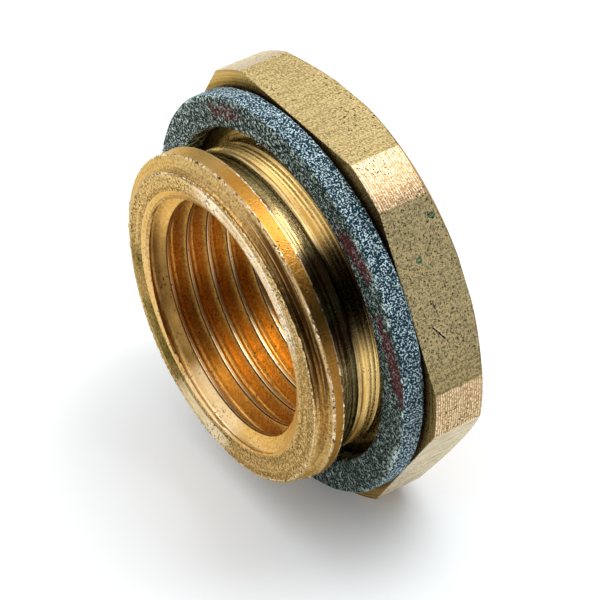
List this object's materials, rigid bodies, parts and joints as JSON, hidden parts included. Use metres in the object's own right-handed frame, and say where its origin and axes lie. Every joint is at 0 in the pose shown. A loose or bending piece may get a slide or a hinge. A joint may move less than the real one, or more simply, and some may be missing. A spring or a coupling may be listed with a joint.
{
  "type": "reducer fitting",
  "caption": "Short brass reducer bush with a turned hexagon flange, a male threaded spigot, a female thread right through it and a loose fibre sealing washer.",
  "frame": {"origin": "on the thread axis, in the plane of the flange's sealing face", "axes": "-Y along the thread axis towards the spigot's end, +Y towards the hexagon's back face, +Z square to the hexagon's upper flat, +X along that flat; the part lies on the lower flat at z = -0.016 m"},
  "size_m": [0.0348, 0.0122, 0.0324],
  "materials": {
    "brass": "bare turned brass, slightly tarnished",
    "fibre": "pressed fibre sheet, matt and frayed at the rim"
  },
  "bodies": {
    "root": {"reducer_body": "brass", "sealing_washer": "fibre"}
  },
  "joints": []
}
